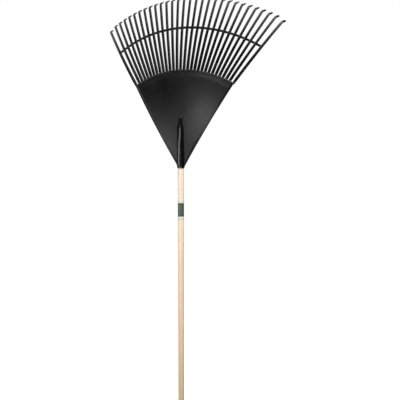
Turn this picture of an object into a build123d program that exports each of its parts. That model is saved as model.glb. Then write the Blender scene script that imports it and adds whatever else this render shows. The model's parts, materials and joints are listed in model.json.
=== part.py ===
"""Leaf rake: a fan-shaped polypropylene head with springy tines on a straight ash handle.

Units are millimetres. The origin is the centre of the handle's butt end, +Z runs up the handle to the head,
+X is to the right of someone facing the head's front, and the tine tips hook towards +Y.

The head's front face is one smooth surface, part of a torus: it bends back at ACROSS_RADIUS from side to side, and at
LENGTH_RADIUS from its foremost height, BELLY, towards the tips and towards the socket. That bows the fan so that all
the tips meet flat ground when the rake is held at its working slope.

The head is one moulding on the real rake. Here it is split at its natural boundaries: the panel, its edge ribs,
the socket, the cross bar, and each tine at the place where it bends, just beyond the cross bar.
"""

import os
from math import atan2, cos, radians, sin, sqrt

from build123d import *

# Handle
HANDLE_LENGTH = 1219.0  # 48 in
HANDLE_RADIUS = 11.9  # 15/16 in across
INSERT_DEPTH = 160.0  # the length held in the socket
BUTT_ROUND = 7.0
TENON_STEPS = ((0.0, 11.9), (120.0, 11.2), (150.0, 8.8), (160.0, 6.5))  # height above the mouth, radius
MOUTH = HANDLE_LENGTH - INSERT_DEPTH  # height of the socket's mouth

# Label round the handle
LABEL_TOP = 122.0  # below the mouth
LABEL_LENGTH = 78.0
LABEL_THICKNESS = 0.12
LABEL_WRAP = 300.0  # degrees

# Head surface
FACE_FORWARD = 5.0  # the front face lies this far ahead of the handle's axis at its foremost height
ACROSS_RADIUS = 915.0
LENGTH_RADIUS = 1980.0
BELLY = 140.0  # the foremost height, above the mouth
FAN_CENTRE = 32.5  # above the mouth: the point that the tines radiate from
HALF_FAN = radians(34.7)
TINE_COUNT = 30
EDGE_SPLAY = radians(0.35)  # the outermost tines stand this much further out
EDGE_SHORTENING = 6.0  # and bend this much sooner

# Distances from the fan centre, on the middle line and on the outermost tine
PANEL_REACH = (345.0, 355.0)
BAR_REACH = (509.5, 522.0)
BEND_REACH = (614.5, 638.0)

# Panel
PANEL_THICKNESS = 2.6
LIP_WIDTH = 7.5
LIP_DEPTH = 5.0
EDGE_RIB_WIDTH = 8.0
EDGE_RIB_DEPTH = 12.0
BEAD = 2.0  # the lip and the edge ribs stand this far ahead of the panel
MARK_RADIUS = 2.2  # a shallow round mark on the front, beside the socket
MARK_DEPTH = 1.0
MARK_PLACE = (35.0, 91.0)  # x, height above the mouth
SPREAD_ROOM = 4.6  # the edge ribs reach this far outside the outermost tines' middle lines at the corners

# Socket: half-widths across and front to back at heights above the mouth. A round tube becomes a low nose on the panel
SOCKET_TUBE = ((0.0, 14.2), (14.0, 15.9), (112.0, 15.8))
SOCKET_RAMP = ((135.0, 15.7, 15.1), (155.0, 15.2, 13.8), (165.0, 13.2, 12.8), (175.0, 10.2, 11.6), (191.0, 8.8, 10.0))
NOSE_TOP = (196.0, 6.2, 8.0)

# Cross bar
BAR_WIDTH = 9.0
BAR_FRONT = 0.8  # its front lies this far behind the tines' front
BAR_DEPTH = 5.0
SEAM = 0.02  # room round the bar where it passes through the tines' roots

# Tines
TINE_WIDTH = 9.0
EDGE_TINE_WIDTH = 9.8
ROOT_DEPTH = 13.0  # at the panel
PIVOT_DEPTH = 8.6
BEND_DEPTH = 6.4  # where the tip begins to bend
TIP_DEPTH = 4.0
RIB_RUN = 55.0  # each tine's rib runs this far in behind the panel
PIVOT_BEYOND_BAR = 18.0
PIVOT_GAP = 0.3
HOOK_RADIUS = 18.0
HOOK_ANGLE = radians(72.0)  # from the handle's axis plane
HOOK_STRAIGHT = 22.0

# Screw that holds the handle, driven from the front
SCREW_HEIGHT = 9.0  # above the mouth
SCREW_LENGTH = 22.0
SCREW_RADIUS = 1.9
SCREW_HEAD_RADIUS = 4.0
SCREW_HEAD_HEIGHT = 2.4
SLOT_WIDTH = 0.9
SLOT_DEPTH = 1.1

FAR = 300.0  # a cutter this long reaches past the whole head


def tine_angle(index):
    """Angle from the middle line, positive to the right, of the tine with this index from 0."""
    middle = (TINE_COUNT - 1) / 2
    splay = EDGE_SPLAY * {0: -1, TINE_COUNT - 1: 1}.get(index, 0)
    return HALF_FAN * (index - middle) / middle + splay


def reach(limits, angle):
    """Distance from the fan centre, easing from the middle value to the value at the outermost tine."""
    middle, edge = limits
    return middle + (edge - middle) * (angle / HALF_FAN) ** 2


def plan_point(distance, angle):
    """(x, height above the mouth) of a point this far from the fan centre."""
    return distance * sin(angle), FAN_CENTRE + distance * cos(angle)


def ring_radius(height, depth=0.0):
    """Distance from the across-curve's axis to the face set back by depth, at a height above the mouth."""
    return ACROSS_RADIUS - LENGTH_RADIUS + sqrt((LENGTH_RADIUS - depth) ** 2 - (height - BELLY) ** 2)


def face_y(x, height, depth=0.0):
    """y of the head's front face, or of the face set back by depth."""
    return ACROSS_RADIUS - FACE_FORWARD - sqrt(ring_radius(height, depth) ** 2 - x**2)


def dome(inset):
    """The space behind the head's front face, set back by inset, wide enough for the whole head."""
    low, high, sweep = -60.0, 760.0, 60.0
    front = [(ring_radius(h, inset), h) for h in (low, (low + high) / 2, high)]
    back = Polyline(front[2], (0, high), (0, low), front[0])
    turned = revolve(Plane.XZ * make_face(ThreePointArc(*front) + back), Axis.Z, revolution_arc=sweep)
    return Pos(0, ACROSS_RADIUS - FACE_FORWARD, MOUTH) * Rot(0, 0, -90 - sweep / 2) * turned


def upright(plan):
    """A prism through the head, from a face drawn in (x, height above the mouth)."""
    standing = Plane((0, 0, MOUTH), x_dir=(1, 0, 0), z_dir=(0, -1, 0)) * plan
    return extrude(standing, FAR, both=True)


def skin(plan, front, back):
    """The part of the head's shell over a plan face, between two depths behind the front face."""
    return (upright(plan) & dome(front)) - dome(back)


def arc_band(limits, inner, outer, spread=1.0):
    """A plan face along an arc across the fan, from inner to outer millimetres beyond the limits."""
    angles = (-HALF_FAN * spread, 0.0, HALF_FAN * spread)
    near = [plan_point(reach(limits, a) + inner, a) for a in angles]
    far = [plan_point(reach(limits, a) + outer, a) for a in angles]
    return make_face(
        ThreePointArc(*near) + Line(near[2], far[2]) + ThreePointArc(*far) + Line(far[0], near[0])
    )


def corner(side, inset=0.0):
    """Plan point where an edge rib's outer side ends, moved in towards the middle by inset."""
    x, height = plan_point(reach(PANEL_REACH, HALF_FAN), HALF_FAN)
    return side * (x + SPREAD_ROOM - inset), height


def foot(side, inset=0.0):
    """Plan point where an edge rib starts, inside the socket's wall, moved in by inset."""
    return side * (SOCKET_TUBE[0][1] - 4.5 - inset), 2.0


def socket_body():
    """The closed outer shape of the socket, with no bore."""
    top, radius = SOCKET_TUBE[-1]
    side = [(r, h) for h, r in SOCKET_TUBE]
    tube = revolve(Plane.XZ * make_face(Polyline((0, 0), *side, (0, top), (0, 0))), Axis.Z)
    rings = [(top, radius, radius), *SOCKET_RAMP, NOSE_TOP]
    ramp = loft([Pos(0, 0, h) * Ellipse(across, deep).face() for h, across, deep in rings], ruled=True)
    return Pos(0, 0, MOUTH) * (tube + ramp)


def handle():
    """The ash handle: a straight grip with a rounded butt, and a tapered end in the socket."""
    grip = Cylinder(HANDLE_RADIUS, MOUTH, align=(Align.CENTER, Align.CENTER, Align.MIN))
    grip = fillet(grip.edges().group_by(Axis.Z)[0], BUTT_ROUND)
    steps = [(r, h) for h, r in TENON_STEPS]
    section = make_face(Polyline((0, 0), *steps, (0, steps[-1][1]), (0, 0)))
    tenon = revolve(Plane.XZ * section, Axis.Z)
    return grip + Pos(0, 0, MOUTH) * tenon


def label():
    """A thin printed wrap round the grip, open at the back."""
    inner = HANDLE_RADIUS
    ring = make_face(Circle(inner + LABEL_THICKNESS).edges()) - make_face(Circle(inner).edges())
    gap = radians(360 - LABEL_WRAP) / 2
    long = 2 * HANDLE_RADIUS
    wedge = make_face(
        Polyline((0, 0), (-long * sin(gap), long * cos(gap)), (long * sin(gap), long * cos(gap)), (0, 0))
    )
    return Pos(0, 0, MOUTH - LABEL_TOP - LABEL_LENGTH) * extrude(ring - wedge, LABEL_LENGTH)


def screw():
    """A slotted pan-head wood screw, through the front of the socket into the handle."""
    seat = socket_radius(SCREW_HEIGHT)
    shank = Cylinder(SCREW_RADIUS, SCREW_LENGTH - 4, align=(Align.CENTER, Align.CENTER, Align.MAX))
    point = Pos(0, 0, -(SCREW_LENGTH - 4)) * Cone(
        0.3, SCREW_RADIUS, 4, align=(Align.CENTER, Align.CENTER, Align.MAX)
    )
    head = Cylinder(SCREW_HEAD_RADIUS, SCREW_HEAD_HEIGHT, align=(Align.CENTER, Align.CENTER, Align.MIN))
    head = fillet(head.edges().group_by(Axis.Z)[-1], 1.2)
    slot = Pos(0, 0, SCREW_HEAD_HEIGHT - SLOT_DEPTH / 2) * Box(SCREW_HEAD_RADIUS * 2, SLOT_WIDTH, SLOT_DEPTH)
    return Pos(0, -seat + 0.4, MOUTH + SCREW_HEIGHT) * Rot(90, 0, 0) * (shank + point + head - slot)


def socket_radius(height):
    """Radius of the socket's tube at a height above the mouth."""
    for (low, r_low), (high, r_high) in zip(SOCKET_TUBE, SOCKET_TUBE[1:]):
        if low <= height <= high:
            return r_low + (r_high - r_low) * (height - low) / (high - low)
    return 0.0


def panel(socket):
    """The solid web between the socket and the tines, with a thicker lip along its outer edge."""
    left, right = corner(-1, EDGE_RIB_WIDTH), corner(1, EDGE_RIB_WIDTH)
    top = plan_point(PANEL_REACH[0], 0.0)
    feet = foot(1, EDGE_RIB_WIDTH), foot(-1, EDGE_RIB_WIDTH)
    outline = ThreePointArc(left, top, right) + Polyline(right, *feet, left)
    web = skin(make_face(outline), 0, PANEL_THICKNESS)
    inside = make_face(outline)
    lip = skin(arc_band(PANEL_REACH, -LIP_WIDTH, 1.0) & inside, -BEAD, LIP_DEPTH)
    x, height = MARK_PLACE
    mark = Pos(x, face_y(x, height) + MARK_DEPTH, MOUTH + height) * Rot(90, 0, 0) * Cylinder(
        MARK_RADIUS, 5, align=(Align.CENTER, Align.CENTER, Align.MIN)
    )
    return web + lip - socket - mark


def edge_rib(side, socket):
    """The deep rib along one side of the panel, which the outermost tine carries on."""
    outline = Polyline(
        foot(side), corner(side), corner(side, EDGE_RIB_WIDTH), foot(side, EDGE_RIB_WIDTH), foot(side)
    )
    return skin(make_face(outline), -BEAD, EDGE_RIB_DEPTH) - socket


def cross_bar(extra):
    """The bar that ties the tines together, larger all round by extra."""
    half = BAR_WIDTH / 2 + extra
    return skin(arc_band(BAR_REACH, -half, half), BAR_FRONT - extra, BAR_FRONT + BAR_DEPTH + extra)


class TinePlane:
    """The upright plane of one tine. Its coordinates are the distance from the fan centre, and y."""

    def __init__(self, angle):
        self.angle = angle
        self.plane = Plane(
            (0, 0, MOUTH + FAN_CENTRE), x_dir=(sin(angle), 0, cos(angle)), z_dir=(-cos(angle), 0, sin(angle))
        )

    def face(self, distance):
        """y of the front face at this distance."""
        return face_y(*plan_point(distance, self.angle))

    def slope(self, distance):
        """Angle that the front face has leant back at this distance."""
        return atan2(self.face(distance + 1) - self.face(distance - 1), 2)

    def point(self, distance, depth):
        """A point set back square to the front face by depth."""
        lean = self.slope(distance)
        return distance - depth * sin(lean), self.face(distance) + depth * cos(lean)

    def edge(self, start, end, start_depth, end_depth):
        """A curve along the tine, between two distances and depths."""
        middle = self.point((start + end) / 2, (start_depth + end_depth) / 2)
        return ThreePointArc(self.point(start, start_depth), middle, self.point(end, end_depth))

    def solid(self, outline, width):
        """Extrudes an outline in this plane to the tine's width."""
        return extrude(self.plane * make_face(outline), width / 2, both=True)


def is_outermost(index):
    return index in (0, TINE_COUNT - 1)


def tine_width(index):
    """The two outermost tines are broader."""
    return EDGE_TINE_WIDTH if is_outermost(index) else TINE_WIDTH


def pivot_distance(angle):
    """Distance from the fan centre of the place where a tine bends."""
    return reach(BAR_REACH, angle) + PIVOT_BEYOND_BAR


def tine_root(index, *others):
    """The fixed length of a tine: a rib behind the panel, then the bar's crossing, up to the bending place."""
    angle = tine_angle(index)
    plane = TinePlane(angle)
    start = reach(PANEL_REACH, angle) - RIB_RUN
    end = pivot_distance(angle) - PIVOT_DEPTH / 2 - PIVOT_GAP
    shoulder = reach(PANEL_REACH, angle)
    outline = (
        plane.edge(start, end, 0.5, 0)
        + Line(plane.point(end, 0), plane.point(end, PIVOT_DEPTH))
        + plane.edge(end, shoulder, PIVOT_DEPTH, ROOT_DEPTH)
        + Line(plane.point(shoulder, ROOT_DEPTH), plane.point(start, PANEL_THICKNESS + 0.5))
        + Line(plane.point(start, PANEL_THICKNESS + 0.5), plane.point(start, 0.5))
    )
    root = plane.solid(outline, tine_width(index))
    for other in others:
        root -= other
    return max(root.solids(), key=lambda s: s.volume)


def tine(index):
    """The free length of a tine: a round end at its bending place, a bowed run, and the hooked tip."""
    angle = tine_angle(index)
    plane = TinePlane(angle)
    start, bend = pivot_distance(angle), reach(BEND_REACH, angle)
    if is_outermost(index):
        bend -= EDGE_SHORTENING
    lean = plane.slope(start)
    pivot = plane.point(start, PIVOT_DEPTH / 2)
    round_end = (pivot[0] - PIVOT_DEPTH / 2 * cos(lean), pivot[1] - PIVOT_DEPTH / 2 * sin(lean))

    first = plane.slope(bend)
    front = plane.point(bend, 0)
    middle = front[0] - HOOK_RADIUS * sin(first), front[1] + HOOK_RADIUS * cos(first)

    def hook(turn, depth, run=0.0):
        radius = HOOK_RADIUS - depth
        x = middle[0] + radius * sin(turn) + run * cos(turn)
        return x, middle[1] - radius * cos(turn) + run * sin(turn)

    halfway = (first + HOOK_ANGLE) / 2
    outline = (
        plane.edge(start, bend, 0, 0)
        + ThreePointArc(hook(first, 0), hook(halfway, 0), hook(HOOK_ANGLE, 0))
        + Line(hook(HOOK_ANGLE, 0), hook(HOOK_ANGLE, 0.6, HOOK_STRAIGHT))
        + ThreePointArc(
            hook(HOOK_ANGLE, 0.6, HOOK_STRAIGHT),
            hook(HOOK_ANGLE, TIP_DEPTH / 2 + 0.6, HOOK_STRAIGHT + TIP_DEPTH / 2),
            hook(HOOK_ANGLE, TIP_DEPTH + 0.6, HOOK_STRAIGHT),
        )
        + Line(hook(HOOK_ANGLE, TIP_DEPTH + 0.6, HOOK_STRAIGHT), hook(HOOK_ANGLE, BEND_DEPTH))
        + ThreePointArc(
            hook(HOOK_ANGLE, BEND_DEPTH), hook(halfway, BEND_DEPTH), hook(first, BEND_DEPTH)
        )
        + plane.edge(bend, start, BEND_DEPTH, PIVOT_DEPTH)
        + ThreePointArc(plane.point(start, PIVOT_DEPTH), round_end, plane.point(start, 0))
    )
    return plane.solid(outline, tine_width(index))


def write(name, shape):
    """Writes one node's STEP file."""
    export_step(shape, f"parts/{name}.step")


def main():
    os.makedirs("parts", exist_ok=True)
    socket_outside = socket_body()
    handle_solid = handle()
    web = panel(socket_outside)
    ribs = {side: edge_rib(side, socket_outside) for side in (-1, 1)}
    bar, bar_room = cross_bar(0.0), cross_bar(SEAM)
    roots = [tine_root(i, web, bar_room, *ribs.values()) for i in range(TINE_COUNT)]

    write("handle", handle_solid)
    write("label", label())
    write("handle_screw", screw())
    write("socket", socket_outside - handle_solid)
    write("panel", web)
    write("edge_rib_left", ribs[-1])
    write("edge_rib_right", ribs[1])
    write("cross_bar", bar)
    write("tine_roots", Compound(children=roots))
    for i in range(TINE_COUNT):
        write(f"tine_{i + 1:02d}", tine(i))


main()
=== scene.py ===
"""Leaf rake: the looks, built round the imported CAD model.

Everything is in metres in the CAD's frame: the handle's butt stands at the origin, +Z runs up the
handle, the head's bowed front faces -Y and the tine tips hook towards +Y. Heights in the head are
above the socket's mouth. Depths in the head run back from its front face.
"""

import json
from math import atan2, cos, pi, radians, sin, sqrt

import bmesh
import bpy
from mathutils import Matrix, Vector


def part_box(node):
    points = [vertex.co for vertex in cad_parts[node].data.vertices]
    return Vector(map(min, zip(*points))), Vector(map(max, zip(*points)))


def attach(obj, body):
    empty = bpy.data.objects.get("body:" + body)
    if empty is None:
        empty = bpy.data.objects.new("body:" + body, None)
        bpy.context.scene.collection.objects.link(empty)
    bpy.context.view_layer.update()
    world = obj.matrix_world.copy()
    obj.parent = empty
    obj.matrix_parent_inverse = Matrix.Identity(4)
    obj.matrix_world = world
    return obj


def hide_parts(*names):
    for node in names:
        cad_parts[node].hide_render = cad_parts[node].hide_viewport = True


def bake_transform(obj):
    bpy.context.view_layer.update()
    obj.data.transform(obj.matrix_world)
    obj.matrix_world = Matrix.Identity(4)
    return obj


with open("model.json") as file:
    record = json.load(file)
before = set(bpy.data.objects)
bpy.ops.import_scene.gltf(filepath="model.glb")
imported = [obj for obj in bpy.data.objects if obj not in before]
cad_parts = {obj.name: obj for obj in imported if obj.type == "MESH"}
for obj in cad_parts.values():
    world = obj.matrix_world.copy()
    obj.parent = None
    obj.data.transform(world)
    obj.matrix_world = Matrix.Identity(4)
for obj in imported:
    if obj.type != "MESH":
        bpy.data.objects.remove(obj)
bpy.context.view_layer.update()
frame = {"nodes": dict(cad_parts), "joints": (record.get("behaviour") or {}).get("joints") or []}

MM = 0.001
RING_POINTS = 64  # round the handle and the socket

# Head surface, as in the CAD
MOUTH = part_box("socket")[0].z
FACE_FORWARD = 5.0 * MM
ACROSS_RADIUS = 915 * MM
LENGTH_RADIUS = 1980 * MM
BELLY = 140 * MM
FAN_CENTRE = 32.5 * MM
HALF_FAN = radians(34.7)
SLOPE_STEP = 1 * MM  # half the span over which the face's slope is taken

# Distances from the fan centre: on the middle line, on the outermost tine
PANEL_REACH = (345 * MM, 355 * MM)
BAR_REACH = (509.5 * MM, 522 * MM)
BEND_REACH = (614.5 * MM, 638 * MM)

# Panel
PANEL_THICKNESS = 2.6 * MM
PANEL_COLUMNS, PANEL_ROWS = 232, 96
ROW_POWER = 0.9  # draws the rows a little towards the lip
FOOT_HALF_WIDTH = 8 * MM
FOOT_HEIGHT = 2 * MM
SPREAD_ROOM = 4.6 * MM  # from the outermost tine's middle to the panel's side
SINK_DEPTH, SINK_FADE = 0.07 * MM, 20 * MM  # faint hollows over the tines' ribs
BAND = 24 * MM  # along the outer edge the front stands out in a shallow wedge this wide
BAND_RISE = 1.2 * MM
MARK_X, MARK_HEIGHT = 35 * MM, 91 * MM
MARK_RADIUS, MARK_DEPTH = 3.1 * MM, 1.9 * MM
MARK_SLOPE = 0.7 * MARK_RADIUS
MARK_SPAN_U, MARK_SPAN_V = 0.06, 0.0105  # the part of the grid made finer round the mark
MARK_STOPS, MARK_ROUNDS = 26, 30

# Rims, lip and cross bar. The rims and the lip stand proud of the face by the bead.
BEAD = 1.9 * MM
RIB_WIDTH = 8 * MM
RIB_DEPTH = 12 * MM
RIB_FOOT = FOOT_HALF_WIDTH + 1.7 * MM
RIB_OVERRUN = 1.5 * MM
RIB_CORNER, RIB_TAPER = 1.8 * MM, 0.9
RIB_STEPS, LIP_STEPS, BAR_STEPS = 60, 96, 120
LIP_WIDTH = 7.5 * MM
LIP_DEPTH = 5 * MM
LIP_OVERHANG = 0.6 * MM
LIP_SPAN = 0.995  # the lip stops just short of the outermost tines
LIP_CORNER = 2.6 * MM
BAR_WIDTH = 9.0 * MM
BAR_DEPTH = 4.95 * MM
BAR_SET_BACK = 0.82 * MM
BAR_CORNER = 1.4 * MM

# Tines
TINE_WIDTH = 9 * MM
ROOT_DEPTH = 13 * MM
PIVOT_DEPTH = 8.6 * MM
BEND_DEPTH = 6.4 * MM
TINE_CORNER, TIP_CORNER = 1.25 * MM, 0.9 * MM
BACK_TAPER, TIP_TAPER, TIP_END_TAPER = 0.9, 0.8, 0.85  # a back's share of its front's width
RIB_RUN = 55 * MM  # the length of the rib behind the panel that a tine starts as
RIB_START_DEPTH = 2.9 * MM
RIB_SET_BACK, RIB_SET_BACK_RUN = 1.3 * MM, 6 * MM
TINE_STEPS = 56

# The outermost tines carry on from the rims, so they start slim at the panel's corner
EDGE_TINE_WIDTH = 9.8 * MM
EDGE_RUN = 4 * MM
EDGE_START_DEPTH = 10.5 * MM
EDGE_ROOT_DEPTH = ROOT_DEPTH - 1.5 * MM
EDGE_SLIMMING, EDGE_SLIMMING_RUN = 2.2 * MM, 26 * MM
EDGE_SHORTENING = 6 * MM

# Hooks
HOOK_RADIUS = 18 * MM
HOOK_ANGLE = radians(72)
HOOK_STRAIGHT = 22 * MM
HOOK_STEPS = 12
HOOK_NARROWING = 0.05
# Share of the hook's straight, depth in mm, set back in mm, share of the tine's width
TIP_RINGS = (
    (0.25, 5.8, 0.2, 0.93),
    (0.5, 5.2, 0.35, 0.90),
    (0.75, 4.6, 0.5, 0.86),
    (1.0, 4.0, 0.6, 0.80),
    (1.035, 3.5, 0.85, 0.72),
    (1.058, 2.6, 1.3, 0.58),
    (1.07, 1.5, 1.85, 0.36),
)

# Socket, as height above the mouth, half-width across and half-width front to back, all in mm
SOCKET_RINGS = (
    # the bore's end and the rolled mouth
    (9, 12.05, 12.05), (1.2, 12.1, 12.1), (0.5, 12.3, 12.3), (0.05, 12.9, 12.9),
    (0.2, 13.6, 13.6), (0.9, 14.1, 14.1), (3, 14.5, 14.5),
    # the tube
    (8, 15.2, 15.2), (12, 15.65, 15.65), (15, 15.85, 15.85), (20, 15.9, 15.9),
    (60, 15.85, 15.85), (100, 15.8, 15.8), (111, 15.8, 15.78),
    # the ramp
    (115, 15.8, 15.72), (119, 15.8, 15.6), (123, 15.78, 15.42), (128, 15.75, 15.2),
    (136, 15.68, 14.85), (145, 15.55, 14.4), (152, 15.3, 13.95), (158, 14.7, 13.5),
    (163, 13.7, 13.0), (168, 12.2, 12.5), (173, 10.7, 11.85),
    # the nose
    (178, 9.8, 11.35), (184, 9.25, 10.7), (190, 8.85, 10.1), (194.8, 8.6, 9.8),
    (195.6, 8.1, 9.3), (196, 7.2, 8.4), (196, 1.2, 3),
)

# Handle and label
HANDLE_RADIUS = 11.9 * MM
HANDLE_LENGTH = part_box("handle")[1].z
BUTT_ROUNDING = 7 * MM
BUTT_STEPS, GRIP_STEPS = 8, 60
# The end that the socket hides: height above the mouth and radius, in mm
HANDLE_TAPER = ((60, 11.55), (120, 11.15), (150, 8.75), (158.5, 6.8), (159.8, 5.8))
LABEL_HALF_WRAP = radians(149)
LABEL_CORNER = 4 * MM
LABEL_COLUMNS, LABEL_ROWS = 72, 40
LABEL_INNER, LABEL_OUTER = HANDLE_RADIUS + 0.01 * MM, HANDLE_RADIUS + 0.115 * MM

# Material slots, and two more finishes of the black plastic as the mould's surface leaves it
BLACK, ASH, LABEL, ZINC = "black_plastic", "ash", "label", "zinc"
TEXTURED, POLISHED = "black_plastic_textured", "black_plastic_polished"
MIX_FACTOR, MIX_A, MIX_B, MIX_RESULT = 0, 6, 7, 2  # a Mix node's sockets when it mixes colours

# Stage
FLOOR_HALF_SIZE = 40.0
WHITE, FLOOR_GREY, REFLECTED_FLOOR = (1, 1, 1, 1), (0.62, 0.62, 0.62, 1), (0.04, 0.04, 0.04, 1)
SKY, SKY_STRENGTH = (0.9, 0.95, 1.0, 1), 0.02
# Name, azimuth, elevation, distance, aim height, width, height, radiance
LIGHTS = (
    ("key_right", 66, 60, 3.0, 0.8, 2.2, 2.0, 10.5),
    ("top_front", -12, 66, 3.0, 0.8, 1.8, 1.6, 5.0),
    ("fill_left", -84, 46, 3.0, 0.8, 1.6, 1.8, 3.4),
    ("low_right", 34, -18, 1.7, 0.62, 1.0, 0.7, 4.6),
    ("window", -7, 2.5, 3.0, 1.3, 0.85, 0.5, 11.0),
    ("long_strip", -44, -3.8, 3.0, 1.12, 1.8, 0.5, 7.0),
    ("apex_strip", -20, -20, 3.0, 1.12, 0.8, 0.4, 20.0),
    ("backdrop", 161, 11, 3.2, 1.45, 1.3, 0.8, 1.8),
    ("back_high", 205, 55, 3.0, 1.1, 1.8, 1.8, 3.0),
)
CAMERA_AIM = (0.0797, 0, MOUTH - 0.1219)
CAMERA_AZIMUTH, CAMERA_ELEVATION, CAMERA_DISTANCE = 22.0, 3.74, 3.193
CAMERA_SENSOR, CAMERA_LENS = 36.0, 74.9


# ---------------------------------------------------------------- surface of the head


def ring_radius(height, depth=0.0):
    """Distance from the across-curve's axis to the face set back by depth."""
    rise = sqrt((LENGTH_RADIUS - depth) ** 2 - (height - BELLY) ** 2)
    return ACROSS_RADIUS - LENGTH_RADIUS + rise


def face_y(x, height, depth=0.0):
    """y of the head's front face, or of the face set back by depth."""
    return ACROSS_RADIUS - FACE_FORWARD - sqrt(ring_radius(height, depth) ** 2 - x**2)


def on_face(x, height, depth=0.0):
    """A point on the head's front face, or on the face set back by depth."""
    return Vector((x, face_y(x, height, depth), MOUTH + height))


def reach(limits, angle):
    """Distance from the fan centre to one of the fan's curved edges."""
    middle, edge = limits
    return middle + (edge - middle) * (angle / HALF_FAN) ** 2


def plan_point(distance, angle):
    """x and height of a point in the fan."""
    return distance * sin(angle), FAN_CENTRE + distance * cos(angle)


def smooth(t):
    """Eases from 0 to 1 as t does."""
    t = min(max(t, 0.0), 1.0)
    return t * t * (3 - 2 * t)


# ---------------------------------------------------------------- mesh helpers


def add_mesh(name, verts, faces):
    """A smooth-shaded object with its faces turned outwards."""
    mesh = bpy.data.meshes.new(name)
    mesh.from_pydata(verts, [], faces)
    mesh.validate()
    bm = bmesh.new()
    bm.from_mesh(mesh)
    bmesh.ops.recalc_face_normals(bm, faces=bm.faces)
    bm.to_mesh(mesh)
    bm.free()
    for polygon in mesh.polygons:
        polygon.use_smooth = True
    obj = bpy.data.objects.new(name, mesh)
    bpy.context.scene.collection.objects.link(obj)
    return obj


def loft(name, rings):
    """A closed skin through rings of equal length. A cap is a fan about the end ring's middle."""
    n = len(rings[0])
    verts = [p for ring in rings for p in ring]
    faces = [
        (i * n + j, i * n + (j + 1) % n, (i + 1) * n + (j + 1) % n, (i + 1) * n + j)
        for i in range(len(rings) - 1)
        for j in range(n)
    ]
    for ring, offset in ((rings[0], 0), (rings[-1], (len(rings) - 1) * n)):
        verts.append(sum(ring, Vector()) / n)
        middle = len(verts) - 1
        faces += [(offset + j, offset + (j + 1) % n, middle) for j in range(n)]
    return add_mesh(name, verts, faces)


def add_sheet(name, fronts, backs, wide, high):
    """A closed sheet between two grids of points, each in rows of wide points."""
    count = len(fronts)
    faces = []
    for row in range(high - 1):
        for column in range(wide - 1):
            a = row * wide + column
            faces.append((a, a + 1, a + wide + 1, a + wide))
            faces.append((count + a, count + a + wide, count + a + wide + 1, count + a + 1))
    border = list(range(wide)) + [row * wide + wide - 1 for row in range(1, high)]
    border += [(high - 1) * wide + column for column in range(wide - 2, -1, -1)]
    border += [row * wide for row in range(high - 2, 0, -1)]
    for a, b in zip(border, border[1:] + border[:1]):
        faces.append((a, b, count + b, count + a))
    return add_mesh(name, fronts + backs, faces)


def rounded_section(radius, back_share=1.0, steps=4):
    """A rounded box's unit outline. back_share is the back's width as a share of the front's.

    Each point is a place across, -1 to 1, a place in depth, 0 to 1, and the two shifts in metres
    that round the corner.
    """
    corners = ((1, 0, -90), (1, 1, 0), (-1, 1, 90), (-1, 0, 180))
    points = []
    for across, back, turn in corners:
        share = back_share if back else 1.0
        outward = 1 if back else -1
        for k in range(steps):
            a = radians(turn + 90 * k / (steps - 1))
            shifts = (radius * (cos(a) - across), radius * (sin(a) - outward))
            points.append((across * share, back, *shifts))
    return points


def section_ring(section, origin, across, inward, width, depth):
    """Places a unit outline: across is its width's direction, inward its depth's."""
    return [
        origin + across * (u * width / 2 + du) + inward * (v * depth + dv)
        for u, v, du, dv in section
    ]


def ellipse(across, deep, z):
    """A level ring round the Z axis."""
    angles = [2 * pi * k / RING_POINTS for k in range(RING_POINTS)]
    return [Vector((across * sin(a), -deep * cos(a), z)) for a in angles]


def circle(radius, z):
    return ellipse(radius, radius, z)


def along(points, place):
    """Interpolates (place, value) pairs."""
    for (low, low_value), (high, high_value) in zip(points, points[1:]):
        if place <= high:
            return low_value + (high_value - low_value) * ((place - low) / (high - low))
    return points[-1][1]


# ---------------------------------------------------------------- materials


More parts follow.
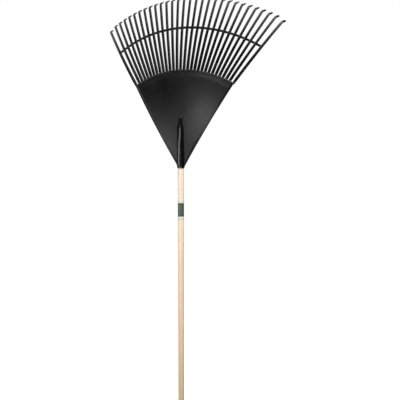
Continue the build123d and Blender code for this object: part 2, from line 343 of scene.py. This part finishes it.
class Nodes:
    """Short calls for a material's node tree."""

    def __init__(self, name):
        self.material = bpy.data.materials.new(name)
        self.material.use_nodes = True
        self.tree = self.material.node_tree
        self.shader = self.tree.nodes["Principled BSDF"]
        self.coords = self.tree.nodes.new("ShaderNodeTexCoord").outputs["Object"]

    def node(self, kind, inputs=(), **settings):
        made = self.tree.nodes.new("ShaderNode" + kind)
        for key, value in settings.items():
            setattr(made, key, value)
        for key, value in dict(inputs).items():
            self.put(made.inputs[key], value)
        return made

    def put(self, socket, value):
        """Links a node's output to a socket, or sets the socket to a plain value."""
        if isinstance(value, bpy.types.NodeSocket):
            self.tree.links.new(value, socket)
        else:
            socket.default_value = value

    def set(self, **values):
        """Sets the shader's inputs, named with _ for each space."""
        for key, value in values.items():
            self.put(self.shader.inputs[key.replace("_", " ")], value)

    def stretched(self, scale, turn=(0, 0, 0)):
        inputs = {"Vector": self.coords, "Scale": scale, "Rotation": turn}
        return self.node("Mapping", inputs).outputs[0]

    def noise(self, scale, detail=2.0, roughness=0.5, vector=None, distortion=0.0):
        inputs = {
            "Vector": vector or self.coords,
            "Scale": scale,
            "Detail": detail,
            "Roughness": roughness,
            "Distortion": distortion,
        }
        return self.node("TexNoise", inputs).outputs["Fac"]

    def ramp(self, factor, steps):
        """A straight colour ramp through (position, colour or grey) steps."""
        made = self.node("ValToRGB", {"Fac": factor})
        elements = made.color_ramp.elements
        while len(elements) < len(steps):
            elements.new(0.5)
        for element, (position, colour) in zip(elements, steps):
            element.position = position
            rgb = colour if isinstance(colour, tuple) else (colour, colour, colour)
            element.color = (*rgb, 1)
        return made.outputs["Color"]

    def mix(self, factor, a, b, blend="MIX"):
        made = self.node("Mix", data_type="RGBA", blend_type=blend)
        for index, value in ((MIX_FACTOR, factor), (MIX_A, a), (MIX_B, b)):
            value = (*value, 1) if isinstance(value, tuple) and len(value) == 3 else value
            self.put(made.inputs[index], value)
        return made.outputs[MIX_RESULT]

    def tinted(self, colour, tint):
        return self.mix(1.0, colour, tint, "MULTIPLY")

    def fit(self, value, low, high, to_low=0.0, to_high=1.0):
        """Maps a range of values to another, and clamps it."""
        inputs = {
            "Value": value,
            "From Min": low,
            "From Max": high,
            "To Min": to_low,
            "To Max": to_high,
        }
        return self.node("MapRange", inputs).outputs[0]

    def maths(self, operation, a, b):
        return self.node("Math", {0: a, 1: b}, operation=operation).outputs[0]

    def height(self):
        return self.node("SeparateXYZ", {"Vector": self.coords}).outputs["Z"]

    def bump(self, height, distance, strength=1.0, under=None):
        """A bump, on top of the bump under it if there is one."""
        inputs = {"Height": height, "Distance": distance, "Strength": strength}
        if under is not None:
            inputs["Normal"] = under
        return self.node("Bump", inputs).outputs["Normal"]


def black_plastic(name, gloss, specular, texture):
    """Moulded black polypropylene: cloudy gloss, a fine mould texture, flow marks and scuffs."""
    n = Nodes(name)
    cloud = n.noise(9, 3, 0.55)
    grain = n.noise(1500, 2, 0.6)
    flow = n.noise(26, 2, 0.5, n.stretched((1, 1, 0.22)), distortion=0.4)
    scuff = n.noise(420, 4, 0.7, n.stretched((1, 1, 0.09), turn=(0, radians(24), 0)))
    scuffs = n.ramp(scuff, ((0.66, 0.0), (0.74, 1.0)))

    dark, light, scuffed = (0.0020, 0.0020, 0.0022), (0.0036, 0.0036, 0.0038), (0.024, 0.024, 0.025)
    tone = n.mix(n.fit(cloud, 0.35, 0.65), dark, light)
    tone = n.mix(n.maths("MULTIPLY", scuffs, 0.3), tone, scuffed)

    cloudy = n.fit(cloud, 0.3, 0.7, gloss - 0.03, gloss + 0.03)
    rough = n.maths("ADD", cloudy, n.fit(flow, 0.3, 0.7, -0.02, 0.02))
    rough = n.maths("ADD", rough, n.maths("MULTIPLY", scuffs, 0.12))

    normal = n.bump(grain, 0.00012, texture)
    normal = n.bump(flow, 0.0006, 0.1, under=normal)
    n.set(Base_Color=tone, Roughness=rough, Normal=normal)
    n.set(IOR=1.49, Specular_IOR_Level=specular)
    return n.material


def ash_wood():
    """Clear-lacquered ash: drifting straight grain, pores, and slow changes of tone down it."""
    n = Nodes(ASH)
    drift = n.stretched((1, 1, 0.035), turn=(0, radians(1.1), radians(20)))
    wave = {
        "Vector": drift,
        "Scale": 78,
        "Distortion": 3.2,
        "Detail": 3,
        "Detail Scale": 0.9,
        "Detail Roughness": 0.6,
    }
    bands = {"wave_type": "BANDS", "bands_direction": "X", "wave_profile": "SIN"}
    rings = n.node("TexWave", wave, **bands).outputs["Fac"]
    fibre = n.noise(620, 3, 0.65, n.stretched((1, 1, 0.012)))
    pores = n.noise(1500, 2, 0.6, n.stretched((1, 1, 0.016), turn=(0, radians(0.6), 0)))
    cloud = n.noise(7, 3, 0.6, n.stretched((1, 1, 0.55)))

    tones_up_the_handle = (
        (0.12, (0.63, 0.53, 0.35)),
        (0.20, (0.66, 0.56, 0.36)),
        (0.38, (0.83, 0.58, 0.41)),
        (0.60, (0.89, 0.66, 0.50)),
        (0.68, (0.83, 0.74, 0.55)),
        (0.85, (0.84, 0.74, 0.64)),
    )
    tone = n.ramp(n.fit(n.height(), 0.0, HANDLE_LENGTH), tones_up_the_handle)
    late_wood = n.tinted(tone, (0.80, 0.70, 0.58))
    colour = n.mix(n.ramp(rings, ((0.35, 0.0), (0.86, 0.75))), tone, late_wood)
    fibres = n.fit(fibre, 0.35, 0.7, 0.0, 0.35)
    colour = n.mix(fibres, colour, n.tinted(tone, (0.86, 0.80, 0.72)))
    open_pores = n.ramp(pores, ((0.62, 0.0), (0.72, 0.7)))
    pore = n.maths("MULTIPLY", open_pores, n.ramp(rings, ((0.2, 0.15), (0.7, 1.0))))
    colour = n.mix(pore, colour, n.tinted(tone, (0.55, 0.43, 0.32)))
    clouds = n.fit(cloud, 0.35, 0.7, 0.0, 0.3)
    colour = n.mix(clouds, colour, n.tinted(colour, (0.93, 0.88, 0.82)))

    normal = n.bump(fibre, 0.00015, 0.3)
    normal = n.bump(pore, -0.0002, 0.35, under=normal)
    n.set(Base_Color=colour, Roughness=n.fit(cloud, 0.3, 0.7, 0.36, 0.5), Normal=normal)
    n.set(Coat_Weight=0.25, Coat_Roughness=0.22)
    return n.material


def label_film():
    """A printed film label: a dark green field between pale margins, slightly creased."""
    n = Nodes(LABEL)
    low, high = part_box("label")[0].z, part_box("label")[1].z
    place = n.fit(n.height(), low, high)
    green, deep, pale = (0.056, 0.090, 0.062), (0.036, 0.062, 0.042), (0.66, 0.63, 0.54)
    bands = (
        (0.0, pale), (0.155, pale),
        (0.165, deep), (0.235, deep),
        (0.245, green), (0.745, green),
        (0.755, deep), (0.825, deep),
        (0.835, pale), (1.0, pale),
    )
    field = n.ramp(place, bands)
    mottle = n.fit(n.noise(900, 2, 0.6), 0.3, 0.7, 0.0, 0.22)
    colour = n.mix(mottle, field, n.tinted(field, (0.72, 0.74, 0.72)))
    crease = n.noise(60, 3, 0.6, n.stretched((1, 1, 0.5)))
    n.set(Base_Color=colour, Roughness=n.fit(crease, 0.3, 0.7, 0.34, 0.46))
    n.set(Normal=n.bump(crease, 0.0006, 0.25))
    return n.material


def zinc_plate():
    """Zinc plate, brightened where it is turned and clouded where it has dulled."""
    n = Nodes(ZINC)
    cloud = n.noise(300, 3, 0.6)
    turned = n.noise(2600, 2, 0.5, n.stretched((1, 0.1, 1)))
    colour = n.mix(n.fit(cloud, 0.3, 0.7), (0.045, 0.042, 0.038), (0.085, 0.080, 0.072))
    rough = n.fit(cloud, 0.3, 0.7, 0.4, 0.55)
    n.set(Base_Color=colour, Roughness=rough, Normal=n.bump(turned, 0.00005, 0.4))
    n.set(Metallic=1.0)
    return n.material


MATERIALS = {
    BLACK: black_plastic(BLACK, gloss=0.24, specular=0.25, texture=0.15),
    TEXTURED: black_plastic(TEXTURED, gloss=0.31, specular=0.3, texture=0.3),
    POLISHED: black_plastic(POLISHED, gloss=0.20, specular=0.45, texture=0.1),
    ASH: ash_wood(),
    LABEL: label_film(),
    ZINC: zinc_plate(),
}


def finish_piece(obj, slot, *nodes, look=None):
    """Gives a piece the material of its slot, or of its look if one is given, and hides the CAD
    nodes that it stands for.
    """
    obj.data.materials.clear()
    obj.data.materials.append(MATERIALS[look or slot])
    if nodes:
        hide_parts(*nodes)
    return obj


def on_head(obj, slot, *nodes, look=None):
    """Finishes a piece that stays with the head."""
    finish_piece(obj, slot, *nodes, look=look)
    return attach(obj, "head")


# ---------------------------------------------------------------- the panel and its rims


def side_x(height, side, inset=0.0):
    """x of the panel's side at a height, moved in by inset."""
    corner_x, corner_height = plan_point(reach(PANEL_REACH, HALF_FAN), HALF_FAN)
    share = (height - FOOT_HEIGHT) / (corner_height - FOOT_HEIGHT)
    return side * (RIB_FOOT + (corner_x + SPREAD_ROOM - RIB_FOOT) * share - inset)


def panel_place(u, v):
    """Plan point of the web: u is -1 to 1 across the fan, v is 0 at the socket to 1 at the lip."""
    angle = u * HALF_FAN
    top_x, top_height = plan_point(reach(PANEL_REACH, angle), angle)
    top_x += u * SPREAD_ROOM * 0.5
    foot_x = u * FOOT_HALF_WIDTH
    return foot_x + (top_x - foot_x) * v, FOOT_HEIGHT + (top_height - FOOT_HEIGHT) * v


def mark_place():
    """The u and v of the round mark, by repeated correction."""
    u = v = 0.5
    for _ in range(MARK_ROUNDS):
        u *= MARK_X / panel_place(u, v)[0]
        v = (MARK_HEIGHT - FOOT_HEIGHT) / (panel_place(u, 1.0)[1] - FOOT_HEIGHT)
    return u, v


def finer_near(stops, centre, half_span):
    """The grid stops with extra ones close together round a centre."""
    extra = {centre + half_span * (2 * k / MARK_STOPS - 1) for k in range(MARK_STOPS + 1)}
    return sorted(set(stops) | extra)


def build_panel():
    """The web, as a fan-shaped grid: sink marks, a wedge-shaped outer band and the round mark."""
    spacing = 2 * HALF_FAN / (len(frame["joints"]) - 1)
    mark_u, mark_v = mark_place()
    even_us = [2 * k / PANEL_COLUMNS - 1 for k in range(PANEL_COLUMNS + 1)]
    even_vs = [(k / PANEL_ROWS) ** ROW_POWER for k in range(PANEL_ROWS + 1)]
    us = finer_near(even_us, mark_u, MARK_SPAN_U)
    vs = finer_near(even_vs, mark_v, MARK_SPAN_V)
    fronts, backs = [], []
    for v in vs:
        for u in us:
            x, height = panel_place(u, v)
            to_lip = (1 - v) * (panel_place(u, 1.0)[1] - FOOT_HEIGHT)
            over_rib = cos(2 * pi * (u * HALF_FAN / spacing - 0.5)) * 0.5 + 0.5
            depth = SINK_DEPTH * over_rib**3 * smooth((RIB_RUN - to_lip) / SINK_FADE)
            depth -= BAND_RISE * min(max((BAND - to_lip) / (BAND - LIP_WIDTH), 0.0), 1.0)
            off_mark = sqrt((x - MARK_X) ** 2 + (height - MARK_HEIGHT) ** 2)
            depth += MARK_DEPTH * smooth((MARK_RADIUS - off_mark) / MARK_SLOPE)
            fronts.append(on_face(x, height, depth))
            backs.append(on_face(x, height, PANEL_THICKNESS))
    return add_sheet("head_panel", fronts, backs, len(us), len(vs))


def sweep_on_face(name, plan, section, width, front, depth):
    """Sweeps a rounded section along plan points, square to the path and set into the face."""
    rings = []
    for i, (x, height) in enumerate(plan):
        before, after = plan[max(i - 1, 0)], plan[min(i + 1, len(plan) - 1)]
        direction = on_face(*after) - on_face(*before)
        direction.normalize()
        slope_x = on_face(x + SLOPE_STEP, height) - on_face(x - SLOPE_STEP, height)
        slope_z = on_face(x, height + SLOPE_STEP) - on_face(x, height - SLOPE_STEP)
        inward = slope_z.cross(slope_x).normalized()
        across = inward.cross(direction).normalized()
        origin = on_face(x, height) + inward * front
        rings.append(section_ring(section, origin, across, inward, width, depth))
    return loft(name, rings)


def arc_plan(limits, steps, span=1.0, shift=0.0):
    """Plan points along one of the fan's curved edges, moved out by shift."""
    angles = [HALF_FAN * (2 * k / steps - 1) * span for k in range(steps + 1)]
    return [plan_point(reach(limits, angle) + shift, angle) for angle in angles]


def build_lip():
    """The thick bead along the panel's outer edge."""
    plan = arc_plan(PANEL_REACH, LIP_STEPS, LIP_SPAN, LIP_OVERHANG - LIP_WIDTH / 2)
    section = rounded_section(LIP_CORNER, steps=7)
    return sweep_on_face("head_lip", plan, section, LIP_WIDTH, -BEAD, BEAD + LIP_DEPTH)


def build_edge_rib(side, name):
    """The deep rim down one side, from the socket to the outermost tine."""
    _, corner_height = plan_point(reach(PANEL_REACH, HALF_FAN), HALF_FAN)
    plan = []
    for k in range(RIB_STEPS + 1):
        height = FOOT_HEIGHT + (corner_height + RIB_OVERRUN - FOOT_HEIGHT) * k / RIB_STEPS
        plan.append((side_x(height, side, RIB_WIDTH / 2), height))
    section = rounded_section(RIB_CORNER, RIB_TAPER, 6)
    return sweep_on_face(name, plan, section, RIB_WIDTH, -BEAD, BEAD + RIB_DEPTH)


def build_cross_bar():
    """The thin bar that ties the tines together."""
    section = rounded_section(BAR_CORNER, steps=6)
    plan = arc_plan(BAR_REACH, BAR_STEPS)
    return sweep_on_face("cross_bar_skin", plan, section, BAR_WIDTH, BAR_SET_BACK, BAR_DEPTH)


# ---------------------------------------------------------------- the socket


def build_socket():
    """A rolled mouth with a short bore, a round tube, a ramp and a nose."""
    rings = [ellipse(across * MM, deep * MM, MOUTH + h * MM) for h, across, deep in SOCKET_RINGS]
    return loft("socket_tube", rings)


# ---------------------------------------------------------------- tines


def tine_face(distance, angle):
    """y of the head's front face at a distance along a tine."""
    return face_y(*plan_point(distance, angle))


def build_tine(index, joint):
    """One tine, from its rib behind the panel to the hooked tip, as a single piece."""
    name = joint["child"]
    axis = Vector(joint["axis"])
    pivot = Vector(joint["pos_m"])
    angle = atan2(-axis.z, axis.x)
    outermost = index in (0, len(frame["joints"]) - 1)

    shoulder = reach(PANEL_REACH, angle)
    bend = reach(BEND_REACH, angle)
    pivot_distance = sqrt(pivot.x**2 + (pivot.z - MOUTH - FAN_CENTRE) ** 2)
    if outermost:
        width, start = EDGE_TINE_WIDTH, shoulder - EDGE_RUN
        start_depth, shoulder_depth = EDGE_START_DEPTH, EDGE_ROOT_DEPTH
        bend -= EDGE_SHORTENING
    else:
        width, start = TINE_WIDTH, shoulder - RIB_RUN
        start_depth, shoulder_depth = RIB_START_DEPTH, ROOT_DEPTH

    radial = Vector((sin(angle), 0, cos(angle)))
    base = Vector((0, 0, MOUTH + FAN_CENTRE))
    back = Vector((0, 1, 0))
    section = rounded_section(TINE_CORNER, BACK_TAPER)
    slim = rounded_section(TIP_CORNER, TIP_TAPER)
    rings = []

    def lean(distance):
        """The front face's angle to upright at a distance along the tine."""
        ahead, behind = distance + SLOPE_STEP, distance - SLOPE_STEP
        return atan2(tine_face(ahead, angle) - tine_face(behind, angle), 2 * SLOPE_STEP)

    def put(distance, y, turn, front, depth, wide, shape):
        """Adds a ring, set back from the tine's front by front."""
        origin = base + radial * distance + back * y
        inward = (back * cos(turn) - radial * sin(turn)).normalized()
        rings.append(section_ring(shape, origin + inward * front, axis, inward, wide, depth))

    depths = (
        (start, start_depth),
        (shoulder, shoulder_depth),
        (pivot_distance, PIVOT_DEPTH),
        (bend, BEND_DEPTH),
    )
    for k in range(TINE_STEPS + 1):
        distance = start + (bend - start) * k / TINE_STEPS
        front, wide = 0.0, width
        if outermost:
            wide -= EDGE_SLIMMING * (1 - smooth((distance - start) / EDGE_SLIMMING_RUN))
        else:
            front = RIB_SET_BACK * smooth((shoulder - distance) / RIB_SET_BACK_RUN)
        y, depth = tine_face(distance, angle), along(depths, distance) - front
        put(distance, y, lean(distance), front, depth, wide, section)

    first = lean(bend)
    centre_x = bend - HOOK_RADIUS * sin(first)
    centre_y = tine_face(bend, angle) + HOOK_RADIUS * cos(first)

    def on_hook(turn):
        return centre_x + HOOK_RADIUS * sin(turn), centre_y - HOOK_RADIUS * cos(turn)

    for k in range(1, HOOK_STEPS + 1):
        turn = first + (HOOK_ANGLE - first) * k / HOOK_STEPS
        wide = width * (1 - HOOK_NARROWING * k / HOOK_STEPS)
        put(*on_hook(turn), turn, 0, BEND_DEPTH, wide, section)
    end_x, end_y = on_hook(HOOK_ANGLE)
    for run, depth, front, share in TIP_RINGS:
        x = end_x + HOOK_STRAIGHT * run * cos(HOOK_ANGLE)
        y = end_y + HOOK_STRAIGHT * run * sin(HOOK_ANGLE)
        shape = slim if run <= 1.0 else rounded_section(TIP_CORNER * share, TIP_END_TAPER)
        put(x, y, HOOK_ANGLE, front * MM, depth * MM, width * share, shape)

    obj = loft(name + "_skin", rings)
    finish_piece(obj, BLACK, name)
    turn = lean(pivot_distance)
    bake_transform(obj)


# ---------------------------------------------------------------- handle and label


def build_handle():
    """The pole, turned: a rounded butt, a long straight grip, and the taper in the socket."""
    flat = HANDLE_RADIUS - BUTT_ROUNDING
    rings = [circle(flat * share, 0.0) for share in (0.25, 0.6, 1.0)]
    for k in range(1, BUTT_STEPS + 1):
        a = radians(90) * k / BUTT_STEPS
        rings.append(circle(flat + BUTT_ROUNDING * sin(a), BUTT_ROUNDING * (1 - cos(a))))
    for k in range(1, GRIP_STEPS + 1):
        z = BUTT_ROUNDING + (MOUTH - BUTT_ROUNDING) * k / GRIP_STEPS
        rings.append(circle(HANDLE_RADIUS, z))
    for height, radius in HANDLE_TAPER:
        rings.append(circle(radius * MM, MOUTH + height * MM))
    return loft("handle_pole", rings)


def build_label():
    """A film wrapped round the handle's front, with rounded corners and its ends apart behind."""
    low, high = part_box("label")[0].z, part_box("label")[1].z
    sheets = []
    for radius in (LABEL_OUTER, LABEL_INNER):
        points = []
        for row in range(LABEL_ROWS + 1):
            z = low + (high - low) * row / LABEL_ROWS
            edge = max(0.0, LABEL_CORNER - min(z - low, high - z))
            trim = LABEL_CORNER - sqrt(LABEL_CORNER**2 - edge**2)
            wrap = LABEL_HALF_WRAP - trim / HANDLE_RADIUS
            for column in range(LABEL_COLUMNS + 1):
                a = wrap * (2 * column / LABEL_COLUMNS - 1)
                points.append(Vector((radius * sin(a), -radius * cos(a), z)))
        sheets.append(points)
    return add_sheet("label_film", *sheets, LABEL_COLUMNS + 1, LABEL_ROWS + 1)


# ---------------------------------------------------------------- stage


def build_floor():
    """A pale floor that is white to the camera and dark to reflections, as round a cut-out."""
    corners = [
        Vector((x * FLOOR_HALF_SIZE, y * FLOOR_HALF_SIZE, 0))
        for x, y in ((-1, -1), (1, -1), (1, 1), (-1, 1))
    ]
    floor = add_mesh("floor", corners, [(0, 1, 2, 3)])
    n = Nodes("floor")
    n.set(Base_Color=FLOOR_GREY, Roughness=0.85)
    glow = n.node("Emission", {"Color": WHITE, "Strength": 1.0})
    both = n.node("AddShader", {0: n.shader.outputs[0], 1: glow.outputs[0]})
    seen = n.node("LightPath").outputs["Is Camera Ray"]
    dim = n.node("BsdfDiffuse", {"Color": REFLECTED_FLOOR})
    pick = n.node("MixShader", {0: seen, 1: dim.outputs[0], 2: both.outputs[0]})
    n.put(n.tree.nodes["Material Output"].inputs["Surface"], pick.outputs[0])
    floor.data.materials.append(n.material)


def build_world():
    """White to the camera, almost dark to everything else."""
    world = bpy.data.worlds.new("studio")
    world.use_nodes = True
    bpy.context.scene.world = world
    nodes, links = world.node_tree.nodes, world.node_tree.links
    sky = nodes["Background"]
    sky.inputs["Color"].default_value = SKY
    sky.inputs["Strength"].default_value = SKY_STRENGTH
    white = nodes.new("ShaderNodeBackground")
    white.inputs["Color"].default_value = WHITE
    white.inputs["Strength"].default_value = 1.0
    path = nodes.new("ShaderNodeLightPath")
    pick = nodes.new("ShaderNodeMixShader")
    links.new(path.outputs["Is Camera Ray"], pick.inputs[0])
    links.new(sky.outputs[0], pick.inputs[1])
    links.new(white.outputs[0], pick.inputs[2])
    links.new(pick.outputs[0], nodes["World Output"].inputs["Surface"])


def aim_from(obj, aim, azimuth, elevation, distance):
    """Puts a light or the camera in the scene at angles in degrees round a point, facing it."""
    az, el = radians(azimuth), radians(elevation)
    obj.location = aim + distance * Vector((sin(az) * cos(el), -cos(az) * cos(el), sin(el)))
    obj.rotation_euler = (aim - obj.location).to_track_quat("-Z", "Y").to_euler()
    bpy.context.scene.collection.objects.link(obj)


def build_stage():
    """A plain pale floor, soft lights and the camera."""
    build_floor()
    build_world()
    for name, azimuth, elevation, distance, aim_height, width, height, radiance in LIGHTS:
        data = bpy.data.lights.new(name, "AREA")
        data.shape = "RECTANGLE"
        data.size, data.size_y, data.energy = width, height, pi * radiance * width * height
        light = bpy.data.objects.new(name, data)
        light.visible_camera = False
        aim_from(light, Vector((0, 0, aim_height)), azimuth, elevation, distance)

    data = bpy.data.cameras.new("camera")
    data.sensor_width = CAMERA_SENSOR
    data.lens = CAMERA_LENS
    camera = bpy.data.objects.new("camera", data)
    aim_from(camera, Vector(CAMERA_AIM), CAMERA_AZIMUTH, CAMERA_ELEVATION, CAMERA_DISTANCE)
    bpy.context.scene.camera = camera
    bpy.context.scene.view_settings.view_transform = "Standard"


# ---------------------------------------------------------------- assembly

on_head(build_panel(), BLACK, "panel", "tine_roots", look=TEXTURED)
on_head(build_lip(), BLACK)
on_head(build_edge_rib(-1, "head_rim_left"), BLACK, "edge_rib_left")
on_head(build_edge_rib(1, "head_rim_right"), BLACK, "edge_rib_right")
on_head(build_cross_bar(), BLACK, "cross_bar")
on_head(build_socket(), BLACK, "socket", look=POLISHED)
on_head(build_handle(), ASH, "handle")
on_head(build_label(), LABEL, "label")
finish_piece(frame["nodes"]["handle_screw"], ZINC)  # the CAD's own mesh
for number, hinge in enumerate(frame["joints"]):
    build_tine(number, hinge)
build_stage()
